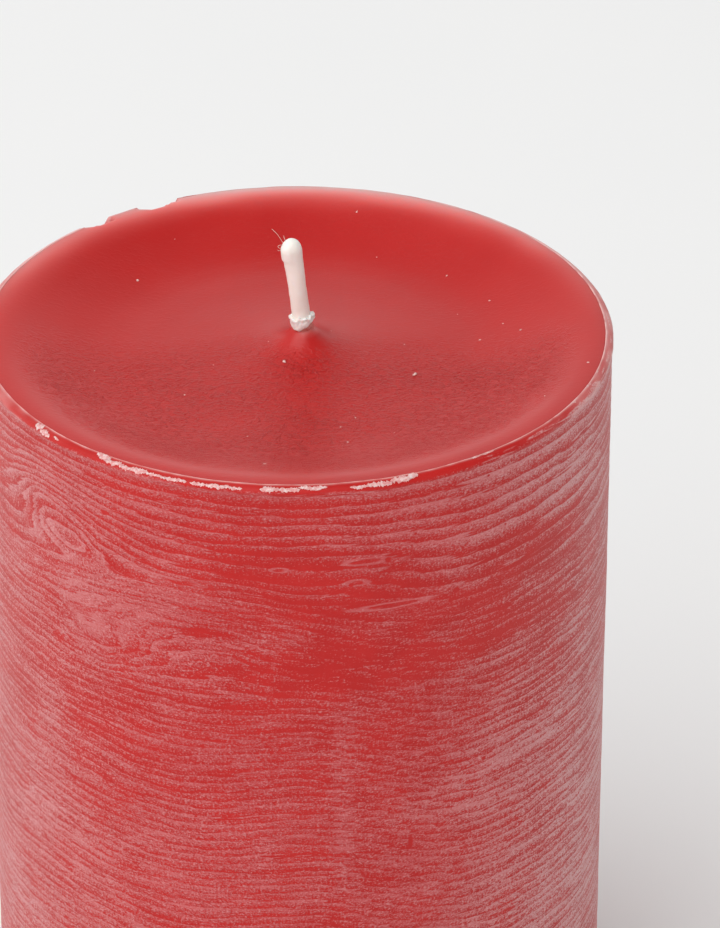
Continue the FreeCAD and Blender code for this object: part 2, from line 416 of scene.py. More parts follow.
# relief: rings stand a little proud where pale, plus slow hand-poured waviness
saw = PH - np.floor(PH)
relief = RG * (DN - saw) * 0.035 * smooth(1.2, 1.8, T)
slow = 0.035 * vnoise(turn(TH), T / 11.0, 22, 34) + 0.02 * vnoise(turn(TH), T / 3.5, 80, 35)
fine = 0.018 * vnoise(turn(TH), TW / 0.9, 60, 36) * smooth(12, 22, T)
outer = smooth(1.1, 1.6, T) * (np.arange(len(prof)) < NL + NW)[:, None]
R = R + outer * (relief + slow + fine) * smooth(0.2, 1.5, Z)
ZB = bitten(R, TH, Z)
Z = np.where((np.arange(len(prof)) < NL + 4)[:, None], ZB, Z)
# painted highlight: a bright line along the ridge of the lip, a pinkish band on the bevel at the sides, a whitish
# reflection band along the back lip and a dashed glint at the right, all painted into the colour and weaker where the
# lip is broken out
PAINTED_RIM_HIGHLIGHT = np.zeros_like(Z)
ridge_glint = (1 - 0.75 * back) * (0.72 + 0.28 * smooth(30, 85, deg))
PAINTED_RIM_HIGHLIGHT[3] = 0.8 * ridge_glint
PAINTED_RIM_HIGHLIGHT[4] = 1.15 * ridge_glint
PAINTED_RIM_HIGHLIGHT[5] = 1.0 * ridge_glint
PAINTED_RIM_HIGHLIGHT[6] = 0.30 * ridge_glint
PAINTED_RIM_HIGHLIGHT[:, :] *= (0.72 + 0.40 * vnoise(turn(TH), 3.3, 260, 37))
PAINTED_RIM_HIGHLIGHT = PAINTED_RIM_HIGHLIGHT * np.where(notch_edge(signed)[None, :] > 35, 1.0, 0.25)
side_bevel_highlight = smooth(40, 80, np.abs(deg)) * (1 - 0.3 * back)
PAINTED_RIM_HIGHLIGHT[6:14] += 0.42 * side_bevel_highlight * (0.7 + 0.5 * vnoise(turn(TH[6:14]), T[6:14] / 0.4, 150, 38))
PAINTED_RIM_HIGHLIGHT[2:12] = np.maximum(PAINTED_RIM_HIGHLIGHT[2:12], (0.66 + 0.24 * vnoise(turn(TH[2:12]), T[2:12] / 0.5, 60, 47)) * smooth(85, 130, np.abs(deg))
                         * np.where(notch_edge(TH[2:12]) > 35, 1.0, 0.25))
dashed_glint = smooth(58, 84, deg) * (1 - smooth(112, 124, deg)) * smooth(-0.25, 0.05, vnoise(turn(signed), 3.0, 330, 66))
PAINTED_RIM_HIGHLIGHT[2:5] = np.maximum(PAINTED_RIM_HIGHLIGHT[2:5], 1.0 * dashed_glint)
PAINTED_RIM_HIGHLIGHT = np.clip(PAINTED_RIM_HIGHLIGHT, 0, 1)

W = Mat("frosted_wax")
px, py, pz = W.xyz(W.pos())
phase, dens, ringw, tw, seam = (W.attr(n) for n in ("phase", "frost", "ringw", "depth", "seam"))


def aniso(along, down, detail=2.0, rough=0.55, distort=0.0, shift=0.0):
    v = W.comb(W.op("MULTIPLY", px, 1 / along), W.op("MULTIPLY", py, 1 / along),
               W.op("MULTIPLY_ADD", tw, 1 / down, shift))
    return W.noise(v, 1.0, detail, rough, distort)


big = aniso(15.0, 1.05, 1.0, 0.5, 0.0, 3.0)
mid = aniso(7.0, 0.45, 1.5, 0.55, 0.2, 11.0)
sml = aniso(2.2, 0.20, 1.0, 0.6, 0.2, 29.0)
dots = W.noise(W.comb(W.op("MULTIPLY", px, 1 / 0.27), W.op("MULTIPLY", py, 1 / 0.27), W.op("MULTIPLY", pz, 1 / 0.17)),
               1.0, 1.5, 0.7)
comb_ = W.noise(W.comb(W.op("MULTIPLY", px, 1 / 0.13), W.op("MULTIPLY", py, 1 / 0.13), W.op("MULTIPLY", pz, 1 / 0.45)),
                1.0, 1.0, 0.6)


def centred(n, k):
    return W.op("MULTIPLY", W.op("SUBTRACT", n, 0.5), k)


def total(*terms):
    out = terms[0]
    for x in terms[1:]:
        out = W.op("ADD", out, x)
    return out


share = W.op("MULTIPLY_ADD", dens, 1.25, -0.625)          # zero where half the surface is frosted
grain = total(centred(dots, 1.85), centred(comb_, 0.75))
# rings: a pale ground that darkens grain by grain and ends in a crisp dark line
ph = total(phase, centred(mid, 0.80), centred(sml, 0.50), centred(big, 1.05))
fr = W.op("FRACT", ph)
ring_p = total(W.op("MULTIPLY_ADD", fr, -0.80, 0.44), share, grain, centred(big, 0.85), centred(mid, 0.6), centred(sml, 0.7))
edge_top = W.step(fr, 0.0, 0.09)
ring_f = W.op("MULTIPLY", W.step(ring_p, -0.40, 0.45), W.op("MULTIPLY_ADD", edge_top, 0.8, 0.2))

# streaks: long broken lines riding on the same layers, finer further down
fs = W.op("FRACT", total(W.op("MULTIPLY", phase, 1.45), centred(mid, 0.9), centred(sml, 0.4), centred(big, 1.3)))
streak_p = total(W.op("MULTIPLY_ADD", fs, -0.50, 0.26), share, grain, centred(big, 0.60), centred(mid, 0.90),
                 centred(sml, 1.05))
streak_f = W.step(streak_p, -0.38, 0.40)

F = W.fmix(ringw, streak_f, ring_f)
# seam: short dark dashes in columns
angle = W.op("ARCTAN2", px, W.op("MULTIPLY", py, -1.0))
col = W.op("MULTIPLY", angle, 34.85)
row_ = W.op("FRACT", W.op("MULTIPLY_ADD", pz, 1.35, centred(sml, 1.1)))
two = W.op("ABSOLUTE", W.op("SUBTRACT", W.op("ABSOLUTE", W.op("SUBTRACT", col, 5.4)), 0.75))
column = W.op("MULTIPLY", seam, W.step(two, 0.62, 0.25))
F = W.op("SUBTRACT", F, W.op("MULTIPLY", W.op("MULTIPLY", column, W.step(row_, 0.30, 0.16)), 0.85), clamp=True)
F = W.op("ADD", F, W.op("MULTIPLY", W.op("MULTIPLY", column, W.step(row_, 0.40, 0.62)), 0.42), clamp=True)
# pits: tiny red holes in the frost
pits = W.cells(W.comb(W.op("MULTIPLY", col, 0.45), 3.0, W.op("MULTIPLY", pz, 0.62)), 1.0, 1.0)
pit = W.step(pits, 0.10, 0.06)
F = W.op("MULTIPLY", F, W.op("SUBTRACT", 1.0, pit))
F = W.op("MULTIPLY", F, W.step(dens, 0.03, 0.10))
# the 'pale' attribute on the wall is the painted highlight along the ridge and lip
pale = W.attr("pale")
tz = W.op("SUBTRACT", 100.0, pz)


def ellipse(s0, t0, a_, b_):
    u_ = W.op("DIVIDE", W.op("SUBTRACT", col, s0), a_)
    v_ = W.op("DIVIDE", W.op("SUBTRACT", tz, t0), b_)
    r_ = W.op("SQRT", W.op("ADD", W.op("MULTIPLY", u_, u_), W.op("MULTIPLY", v_, v_)))
    return W.op("ADD", r_, centred(sml, 0.7))


lit = None
for s0, t0, a_, b_ in ((7.8, 9.5, 2.3, 0.42), (6.8, 12.0, 1.2, 0.38), (10.8, 15.4, 4.2, 0.36), (-1.4, 10.1, 0.9, 0.28)):
    e_ = ellipse(s0, t0, a_, b_)
    ring_line = W.op("MULTIPLY", W.step(e_, 0.55, 0.8), W.step(e_, 1.35, 1.1))
    lit = ring_line if lit is None else W.op("MAXIMUM", lit, ring_line)
    F = W.op("MULTIPLY", F, W.step(e_, 0.45, 0.75, 0.35, 1.0))
F = W.op("MAXIMUM", F, W.op("MULTIPLY", lit, 0.95))
for s0, t0, a_, b_ in ((10.2, 9.6, 0.35, 0.30), (6.2, 12.2, 0.28, 0.25), (18.2, 15.3, 0.45, 0.32), (12.9, 46.0, 0.30, 0.85),
                       (-21.3, 6.7, 0.55, 0.30), (-10.0, 33.0, 0.25, 0.22), (22.0, 38.0, 0.28, 0.25)):
    F = W.op("MULTIPLY", F, W.step(ellipse(s0, t0, a_, b_), 0.75, 1.25))

# painted sheen: the frost and its specks are painted paler and whiter towards the flanks, most on the right, where the
# wall is seen at a grazing angle; the random frost tone comes from the noise
side = W.attr("side")
frost_and_sheen_tone = W.mix(W.step(W.noise(W.pos(), 0.11, 2.0, 0.5), 0.35, 0.65), (0.534, 0.084, 0.087, 1), (0.573, 0.111, 0.114, 1))
frost_and_sheen_tone = W.mix(side, frost_and_sheen_tone, (0.67, 0.36, 0.36, 1))
red_tone = W.mix(W.step(W.noise(W.pos(), 0.2, 2.0, 0.5), 0.35, 0.65), (0.484, 0.0080, 0.0066, 1), (0.523, 0.011, 0.009, 1))
speck = W.step(dots, 0.50, 0.75)
frost_and_sheen_colour = W.mix(W.op("MULTIPLY", speck, 0.60), frost_and_sheen_tone, W.mix(side, (0.64, 0.26, 0.26, 1), (0.74, 0.52, 0.52, 1)))
colour = W.mix(F, red_tone, frost_and_sheen_colour)
# painted highlight: the ridge and lip highlight is mixed into the colour here
colour = W.mix(W.op("MULTIPLY", pale, 0.95), colour, (0.92, 0.56, 0.54, 1))
rough = W.fmix(F, 0.42, 0.60)
bump = W.bump(F, 0.06, 0.8)
bump = W.bump(grain, 0.05, 0.35, bump)
frosted = W.wax(colour, rough, sss=0.20, radius=(1.0, 0.25, 0.2), ior=1.43, normal=bump, spec=0.36,
                sheen=0.05, sheen_rough=0.45, sheen_tint=(1.0, 0.92, 0.9, 1))

# painted sheen mask: rises from the front towards the flanks, stronger on the right
PAINTED_GRAZING_SHEEN = smooth(14, 74, np.abs(TH / RAD)) + 0.10 * vnoise(turn(TH), T / 6.0, 30, 45)
PAINTED_GRAZING_SHEEN = np.clip(PAINTED_GRAZING_SHEEN * (0.55 + 0.45 * smooth(-30, 30, TH / RAD)), 0, 1)
pts = polar(R, TH, Z)
shell = make("frosted_wall", pts, strip_faces(len(prof), NT, True), frosted,
             {"phase": PH, "frost": DN, "ringw": RG, "depth": TW, "seam": SEAM, "pale": PAINTED_RIM_HIGHLIGHT, "side": PAINTED_GRAZING_SHEEN})
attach(shell, "root")
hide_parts("outer_wax_shell")

# ---------------------------------------------------------------- second pour
inner = np.array([0.86, 1.0, 1.15, 1.4, 1.75, 2.15, 2.6, 3.1, 3.7, 4.3, 5.0, 5.8, 6.6, 7.5, 8.5, 9.5, 10.5])
rings = np.concatenate([inner, np.arange(11.5, 22, 0.95), np.arange(22, 31.4, 0.6), np.arange(31.4, 33.9, 0.28),
                        [33.95, 34.06]])
RR = np.repeat(rings[:, None], NT, 1)
TT = np.repeat(signed[None, :], len(rings), 0)
ZZ = np.repeat(monotone(DISH_R, DISH_Z, rings)[:, None], NT, 1)
CX = WICK_X * (1 - smooth(3.0, 15.0, RR)) - 0.06 * (1 - smooth(1.2, 2.2, RR))
X0, Y0 = CX + RR * np.sin(TT), -RR * np.cos(TT)
# slow unevenness, and the faint crease field of a cooling skin
ZZ += 0.035 * vnoise(turn(TT), RR / 9.0, 7, 41) * smooth(4, 9, RR) * (1 - smooth(31, 33.5, RR))
rng = np.random.default_rng(50)


def plane_noise(x, y, cx, cy, seed):
    g = np.random.default_rng(seed).uniform(-1, 1, (257, 257))
    u, v = x / cx + 80, y / cy + 80
    iu, iv = np.floor(u).astype(int), np.floor(v).astype(int)
    fu, fv = u - iu, v - iv
    fu, fv = fu * fu * (3 - 2 * fu), fv * fv * (3 - 2 * fv)
    a, b = g[iv % 257, iu % 257], g[iv % 257, (iu + 1) % 257]
    c, d = g[(iv + 1) % 257, iu % 257], g[(iv + 1) % 257, (iu + 1) % 257]
    return (a * (1 - fu) + b * fu) * (1 - fv) + (c * (1 - fu) + d * fu) * fv


crease_zone = smooth(2.0, 5.0, RR) * (1 - smooth(27, 32, RR)) * (0.04 + 0.96 * smooth(5, -6, Y0)) * (0.75 + 0.35 * plane_noise(X0, Y0, 7.0, 5.0, 60))
ZZ += crease_zone * (0.016 * plane_noise(X0, Y0, 2.3, 0.9, 51) + 0.010 * plane_noise(X0, Y0, 1.1, 0.6, 52))
ZZ += 0.02 * plane_noise(X0, Y0, 5.0, 4.0, 53) * smooth(6, 12, RR) * (1 - smooth(30, 33, RR))
# lumps of skin creeping up round the wick
near = 1 - smooth(1.1, 2.5, RR)
ZZ += near * (0.16 * vnoise(turn(TT), RR / 0.8, 7, 54) + 0.10 * vnoise(turn(TT), RR / 0.5, 13, 55)) * smooth(0.9, 1.2, RR)
BK = smooth(70, 140, np.abs(TT / RAD))
ZZ = ZZ + BK * (0.22 * smooth(28.0, 31.5, RR) - 0.022 * np.maximum(RR - 31.0, 0) ** 2)
ZZ = np.where(RR > 31, bitten(np.hypot(X0, Y0), TT, ZZ), ZZ)
ZZ = np.minimum(ZZ, 100.3)
# painted glow and reflection: towards the back lip the top is painted first a brighter red, for light shining through
# the wax, then whitish, for the reflection along the lip
PAINTED_BACK_RIM_GLOW = smooth(26.0, 35.2, RR + 0.25 * vnoise(turn(TT), RR / 2.0, 40, 58)) ** 2.2 * smooth(72, 128, np.abs(TT / RAD)) * (0.85 + 0.25 * vnoise(turn(TT), 1.3, 16, 59))
PAINTED_BACK_RIM_GLOW = PAINTED_BACK_RIM_GLOW * (0.48 + 0.52 * smooth(130, 170, np.abs(TT / RAD))) * np.where(RR < notch_edge(TT), 1.0, 0.25)
PALE2 = (1 - smooth(1.0, 1.75, RR + 0.35 * vnoise(turn(TT), RR / 0.6, 9, 56) + 0.25 * np.cos(TT + 1.1)))
side = [(34.30, 99.45), (34.42, 98.8), (34.45, 96.0), (34.45, 60.0), (34.45, 20.0), (34.40, 2.0), (34.2, 0.4), (34.08, 0.0),
        (30.0, 0.0), (26.0, 0.0), (25.75, 0.12), (25.4, 0.6), (18.0, 0.6), (9.04, 0.6), (9.02, 0.93), (5.0, 0.93),
        (2.42, 0.93), (1.37, 2.25), (1.37, 6.7), (0.6, 6.7)]
rows = [polar(RR[i], signed, ZZ[i], CX[i]) for i in range(len(rings))]
pale_rows = [PALE2[i] for i in range(len(rings))]
back_rim_glow_rows = [np.clip(PAINTED_BACK_RIM_GLOW[i], 0, 1) for i in range(len(rings))]
for k, (r, z) in enumerate(side):
    th_ = signed
    zz = np.full(NT, z)
    if k == 0:
        zz = bitten(np.full(NT, r), th_, zz)
    if 0.5 < z < 0.7 and r > 12:
        zz = zz + 0.03 * vnoise(turn(th_), r, 30, 57)
    rows.append(polar(np.full(NT, r), th_, zz))
    pale_rows.append(np.zeros(NT))
    back_rim_glow_rows.append(np.zeros(NT))
nrow = len(rows)
pts = np.concatenate(rows + [np.array([[WICK_X - 0.06, 0.0, 99.9]]), np.array([[0.0, 0.0, 6.7]])])
faces = strip_faces(nrow, NT) + fan(0, NT, nrow * NT, True) + fan((nrow - 1) * NT, NT, nrow * NT + 1)
pale_all = np.concatenate(pale_rows + [[1.0], [0.0]])
crease_all = np.zeros(len(pts))
crease_all[:len(rings) * NT] = (0.02 + 0.98 * crease_zone).ravel()
back_rim_glow_all = np.concatenate(back_rim_glow_rows + [[0.0], [0.0]])

C = Mat("red_wax")
cx_, cy_, cz_ = C.xyz(C.pos())
deep = C.step(C.noise(C.pos(), 0.09, 2.0, 0.5), 0.35, 0.65)
base = C.mix(deep, (0.500, 0.0068, 0.0055, 1), (0.520, 0.0088, 0.0072, 1))
# painted light: the red wax is painted brighter towards the front left, where the key light falls
painted_key_light = C.step(C.op("ADD", C.op("MULTIPLY", cx_, -0.8), C.op("MULTIPLY", cy_, -0.6)), 8.0, 30.0)
base = C.mix(painted_key_light, base, (0.565, 0.0080, 0.0066, 1))
haze = C.step(C.noise(C.comb(C.op("MULTIPLY", cx_, 0.9), C.op("MULTIPLY", cy_, 2.2), cz_), 1.0, 3.0, 0.6), 0.52, 0.75)
base = C.mix(C.op("MULTIPLY", haze, 0.05), base, (0.62, 0.12, 0.11, 1))
base = C.mix(C.op("MULTIPLY", C.attr("pale"), 0.55), base, (0.74, 0.27, 0.25, 1))
# painted glow and painted reflection along the back lip, from the 'brim' attribute
brim = C.attr("brim")
base = C.mix(C.step(brim, 0.0, 0.60), base, (0.80, 0.062, 0.050, 1))
base = C.mix(C.op("POWER", brim, 2.0), base, (0.94, 0.70, 0.68, 1))
crease = C.attr("crease")
fold = C.noise(C.comb(C.op("MULTIPLY", cx_, 1.3), C.op("MULTIPLY", cy_, 2.2), 0.0), 1.0, 2.0, 0.6, 0.9)
wr1 = C.op("MULTIPLY", C.step(fold, 0.46, 0.66), crease)
wr2 = C.op("MULTIPLY", C.noise(C.comb(C.op("MULTIPLY", cx_, 2.6), C.op("MULTIPLY", cy_, 3.8), 0.0), 1.0, 2.0, 0.6, 0.6), crease)
nb = C.bump(wr1, 0.20, 1.0)
nb = C.bump(wr2, 0.11, 1.0, nb)
red = C.wax(base, 0.35, sss=0.55, radius=(3.0, 0.45, 0.30), ior=1.43, normal=nb, spec=0.54)

core = make("red_fill", pts, faces, red, {"pale": pale_all, "brim": back_rim_glow_all, "crease": crease_all})
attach(core, "root")
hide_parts("inner_wax_core")

# ---------------------------------------------------------------- wick
LEAN = 6.93 * RAD
KINK = np.array([1.08, 0.0, 98.0])
AX = np.array([-math.sin(LEAN), 0.0, math.cos(LEAN)])       # along the free wick
SX = np.array([math.cos(LEAN), 0.0, math.sin(LEAN)])        # to its right
SY = np.array([0.0, 1.0, 0.0])
TIP_C = 110.12


def wick_centre(z):
    """Centre line of the wick at height z: straight, kinked, leaning at the top."""
    z = np.asarray(z, float)
    x1 = np.where(z < 12, 0.0, (z - 12) / 86.0 * 1.08)
    x2 = 1.08 - math.tan(LEAN) * (z - 98.0)
    w = smooth(97.0, 99.2, z)
    return x1 * (1 - w) + x2 * w


NC = 64
wz = np.concatenate([[0.6, 2.0, 6.0, 12.0, 30.0, 50.0, 70.0, 88.0, 94.0, 96.5], np.arange(97.5, 110.35, 0.16)])
ph_ = np.linspace(0, 2 * math.pi, NC, endpoint=False)       # from the front towards +X
rows = []
for z in wz:
    c = wick_centre(z)
    base_r = np.interp(z, [0, 97, 100.5, 101.8, 104, 107, 108.4, 108.62, 108.9, 109.7, 110.0],
                       [1.03, 1.03, 0.95, 0.955, 0.975, 1.01, 1.03, 1.03, 1.05, 1.06, 1.04])
    bulge = 0.17 * smooth(108.35, 108.75, z) * (1 - smooth(110.0, 110.6, z)) * np.exp(-(((ph_ - 1.5 * math.pi) / 1.25) ** 2))
    lump = 0.028 * vnoise(turn(ph_), z / 0.9, 6, 61) + 0.022 * vnoise(turn(ph_), z / 3.2, 3, 62) + 0.010 * vnoise(turn(ph_), z / 0.35, 14, 63)
    twist = 0.018 * np.cos(2 * ph_ - z * 0.9)
    fade = smooth(96, 99, z)
    r = base_r + fade * (bulge + lump + twist)
    if z > 109.75:                                          # rounded top
        q = min(1.0, (z - 109.75) / (110.35 - 109.75))
        r = r * (1 - 0.10 * q * q)
    lean_w = float(smooth(98.5, 101, z))
    zz = z + lean_w * math.tan(LEAN) * r * np.sin(ph_)
    rows.append(np.stack([c + r * np.sin(ph_), -r * np.cos(ph_), zz], -1))
top_c = np.array([wick_centre(110.35), 0.0, 110.35])
last = rows[-1] - top_c
for q, (k, up) in enumerate([(0.86, 0.24), (0.68, 0.44), (0.46, 0.58), (0.22, 0.66)]):
    lump = 1 + 0.05 * vnoise(turn(ph_), q * 0.9, 7, 64)
    rows.append(top_c + last * k * lump[:, None] + AX * up)
apex = top_c + AX * 0.69
bottom = [np.stack([0.79 * np.sin(ph_), -0.79 * np.cos(ph_), np.full(NC, z)], -1) for z in (0.6, 2.6)]
allrows = bottom[::-1] + rows
pts = np.concatenate(allrows + [apex[None, :], np.array([[0.0, 0.0, 2.6]])])
n = len(allrows)
faces = strip_faces(n, NC) + fan((n - 1) * NC, NC, n * NC) + fan(0, NC, n * NC + 1, True)
K = Mat("wick_wax")
kx, ky, kz = K.xyz(K.pos())
up = K.step(kz, 106.5, 110.6)
mott = K.noise(K.pos(), 1.1, 3.0, 0.6)
kc = K.mix(K.step(mott, 0.35, 0.7), (0.97, 0.93, 0.85, 1), (0.98, 0.95, 0.88, 1))
kc = K.mix(up, kc, (0.92, 0.89, 0.83, 1))
kb = K.bump(K.noise(K.comb(K.op("MULTIPLY", kx, 2.4), K.op("MULTIPLY", ky, 2.4), K.op("MULTIPLY", kz, 1.2)), 1.0, 3.0, 0.6), 0.06, 0.5)
coat_m = K.wax(kc, 0.42, sss=0.22, radius=(0.7, 0.5, 0.4), ior=1.44, normal=kb, spec=0.4)
coat = make("wick_coat", pts, faces, coat_m)
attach(coat, "root")
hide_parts("wick_wax_coat")

# braided strands inside the wax, seen at the base
B = Mat("wick_cotton")
tw_ = B.noise(B.pos(), 9.0, 3.0, 0.6)
bc = B.mix(B.step(tw_, 0.35, 0.65), (0.78, 0.74, 0.66, 1), (0.66, 0.61, 0.52, 1))
cotton = B.wax(bc, 0.85, normal=B.bump(tw_, 0.05, 0.5), ior=1.45, spec=0.3, sheen=0.3)
bz = np.concatenate([[0.62], np.arange(1.0, 109.6, 0.6)])
pts, faces = [], []
NS = 10
for sidx in range(4):
    a0 = sidx * math.pi / 2
    sgn = 1 if sidx % 2 == 0 else -1
    start = len(pts)
    cs = []
    for z in bz:
        a = a0 + sgn * z * 2.1
        rr_ = 0.40 + 0.07 * math.cos(2 * z * 2.1 + sidx * math.pi)
        cs.append((wick_centre(z) + rr_ * math.sin(a), -rr_ * math.cos(a), z))
    cs = np.array(cs)
    for c in cs:
        for j in range(NS):
            b = 2 * math.pi * j / NS
            pts.append((c[0] + 0.28 * math.sin(b), c[1] - 0.28 * math.cos(b), c[2]))
    nrows = len(cs)
    faces += strip_faces(nrows, NS, start=start)
    pts.append(tuple(cs[0]))
    pts.append(tuple(cs[-1]))
    faces += fan(start, NS, len(pts) - 2, True) + fan(start + (nrows - 1) * NS, NS, len(pts) - 1)
braid = make("wick_braid_strands", pts, faces, cotton)
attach(braid, "root")
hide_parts("wick_braid")


# ---------------------------------------------------------------- collar of rough wax at the wick's foot
def on_wick(l, r, a):
    """Point at length l above z 98 along the leaning axis, radius r, angle a from the front to the right."""
    return KINK + AX * l + SX * r * math.sin(a) - SY * r * math.cos(a)


NA = 96
an = np.linspace(0, 2 * math.pi, NA, endpoint=False)


def bump1(a, centre, width):
    d = (a - centre + math.pi) % (2 * math.pi) - math.pi
    return np.exp(-((d / width) ** 2))


right, left, front_l = math.pi / 2, -math.pi / 2, -0.35
top_l = 3.64 + 0.20 * vnoise(turn(an), 1, 11, 81) + 0.20 * vnoise(turn(an), 4, 29, 82) + 0.10 * bump1(an, right, 0.35) - 0.10 * bump1(an, left, 0.5)
low_l = 2.66 - 0.50 * bump1(an, front_l, 0.7) + 0.35 * bump1(an, right, 0.8) + 0.08 * vnoise(turn(an), 2, 13, 83)
flare = 1.31 + 0.10 * vnoise(turn(an), 3, 9, 84) + 0.06 * vnoise(turn(an), 5, 23, 88) + 0.10 * bump1(an, right, 0.26) + 0.10 * bump1(an, left, 0.4)
rows = []
prof_c = [(0.00, 0.86, 0.0), (0.00, 1.0, 0.35), (0.10, 1.02, 0.85), (0.24, 1.03, 1.0), (0.42, 1.03, 0.95), (0.58, 1.05, 0.80),
          (0.72, 1.0, 0.80), (0.86, 0.98, 1.0), (0.96, 0.97, 0.95), (1.02, 0.95, 0.35), (0.99, 0.9, 0.0)]
for k, (f, _, w) in enumerate(prof_c):
    l = low_l + (top_l - low_l) * f
    r = 0.97 + (flare - 0.97) * w
    r = r + 0.105 * vnoise(turn(an), k * 0.8, 17, 85) * (w > 0.1) + 0.075 * vnoise(turn(an), k * 1.7, 31, 86) * (w > 0.1)
    l = l + (0.06 * vnoise(turn(an), k * 0.9, 25, 89) if 1 < k < 10 else 0.0)
    if k == 6:
        r = r - 0.14 * bump1(an, left + 0.1, 0.5) - 0.08 * bump1(an, right - 0.3, 0.3)
    rows.append(np.array([on_wick(l[j], r[j], an[j]) for j in range(NA)]))
inner_rows = [np.array([on_wick(low_l[j] + (top_l[j] - low_l[j]) * f, 0.80, an[j]) for j in range(NA)]) for f in (0.9, 0.1)]
allrows = rows + inner_rows
pts = np.concatenate(allrows)
faces = strip_faces(len(allrows), NA, True)
L = Mat("collar_wax")
lx, ly, lz = L.xyz(L.pos())
ln = L.noise(L.pos(), 2.6, 3.0, 0.65)
blush = L.step(L.op("ADD", L.op("MULTIPLY", L.op("SUBTRACT", 101.0, lz), 0.55), L.op("MULTIPLY", L.op("SUBTRACT", ln, 0.5), 1.6)), 0.0, 1.0)
lc = L.mix(L.step(ln, 0.40, 0.62), (0.86, 0.76, 0.71, 1), (0.92, 0.88, 0.85, 1))
lc = L.mix(L.op("MULTIPLY", blush, 0.30), lc, (0.76, 0.42, 0.38, 1))
collar_m = L.wax(lc, 0.38, sss=0.5, radius=(0.8, 0.35, 0.3), ior=1.44, normal=L.bump(ln, 0.12, 0.8), spec=0.45)
collar = make("wick_collar", pts, faces, collar_m)
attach(collar, "root")
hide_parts("wick_wax_collar")

# thin red-tinted skin drawn up from the cone under the collar
rows = []
for f in np.linspace(0, 1, 9):
    l = 1.55 + f * 1.15
    r = 1.32 - 0.34 * f ** 0.7 + 0.16 * bump1(an, right - 0.5, 0.7) * (1 - 0.3 * f) + 0.05 * vnoise(turn(an), f * 2.5, 15, 87)
    rows.append(np.array([on_wick(l, r[j], an[j]) for j in range(NA)]))
rows += [np.array([on_wick(1.55 + 1.10, 0.78, an[j]) for j in range(NA)]), np.array([on_wick(1.6, 0.78, an[j]) for j in range(NA)])]
Q = Mat("collar_skin")
qx, qy, qz = Q.xyz(Q.pos())
qn = Q.noise(Q.pos(), 2.2, 3.0, 0.6)
qf = Q.step(Q.op("ADD", Q.op("MULTIPLY", Q.op("SUBTRACT", qz, 99.9), 0.8), Q.op("MULTIPLY", Q.op("SUBTRACT", qn, 0.5), 2.2)), -0.3, 0.9)
qc = Q.mix(qf, (0.56, 0.045, 0.036, 1), (0.72, 0.28, 0.25, 1))
skin_m = Q.wax(qc, 0.36, sss=0.6, radius=(1.8, 0.4, 0.3), ior=1.43, normal=Q.bump(qn, 0.08, 0.5), spec=0.4)
skin = make("wick_foot_skin", np.concatenate(rows), strip_faces(len(rows), NA, True), skin_m)
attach(skin, "root")


# ---------------------------------------------------------------- loose threads at the tip
def tube(path, radius, sides=6):
    path = np.asarray(path, float)
    p, f = [], []
    for i, c in enumerate(path):
        d = path[min(i + 1, len(path) - 1)] - path[max(i - 1, 0)]
        d = d / np.linalg.norm(d)
        u = np.cross(d, (0.0, 1.0, 0.02))
        u = u / np.linalg.norm(u)
        v = np.cross(d, u)
        k = radius * (0.35 if i in (0, len(path) - 1) else 1.0)
        for j in range(sides):
            b = 2 * math.pi * j / sides
            p.append(c + u * k * math.cos(b) + v * k * math.sin(b))
    f = strip_faces(len(path), sides)
    p += [path[0], path[-1]]
    f += fan(0, sides, len(path) * sides, True) + fan((len(path) - 1) * sides, sides, len(path) * sides + 1)
    return p, f


threads = [
    ([(-0.95, -0.25, 110.40), (-1.35, -0.25, 110.80), (-1.62, -0.2, 111.25), (-1.95, -0.15, 111.75), (-2.35, -0.1, 112.15),
      (-2.52, -0.1, 112.35)], 0.021),
    ([(-1.02, -0.3, 110.30), (-1.55, -0.32, 110.46), (-1.85, -0.34, 110.30), (-1.66, -0.36, 110.08), (-1.15, -0.34, 110.15)], 0.022),
    ([(-0.9, -0.2, 110.6), (-1.12, -0.15, 111.1), (-1.22, -0.1, 111.5)], 0.020),
    ([(-1.3, -0.3, 109.9), (-1.75, -0.3, 109.75), (-1.95, -0.3, 109.85)], 0.018),
]
pts, faces = [], []
for path, rad in threads:
    path = np.array(path)
    dense = np.linspace(0, len(path) - 1, 14)
    fine_path = np.stack([monotone(np.arange(len(path)), path[:, k], dense) for k in range(3)], -1)
    p, f = tube(fine_path, rad)
    faces += [tuple(i + len(pts) for i in q) for q in f]
    pts += [tuple(q) for q in p]
fibres = make("wick_threads", pts, faces, cotton)
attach(fibres, "root")

# ---------------------------------------------------------------- white chips left on the bevel of the lip
bevel = lip[4:13]
blen = np.concatenate([[0], np.cumsum(np.hypot(*np.diff(bevel, axis=0).T))])


def bevel_point(u):
    """Radius and height on the bevel, u from 0 at the ridge to 1 at the bead."""
    return np.interp(u * blen[-1], blen, bevel[:, 0]), np.interp(u * blen[-1], blen, bevel[:, 1])


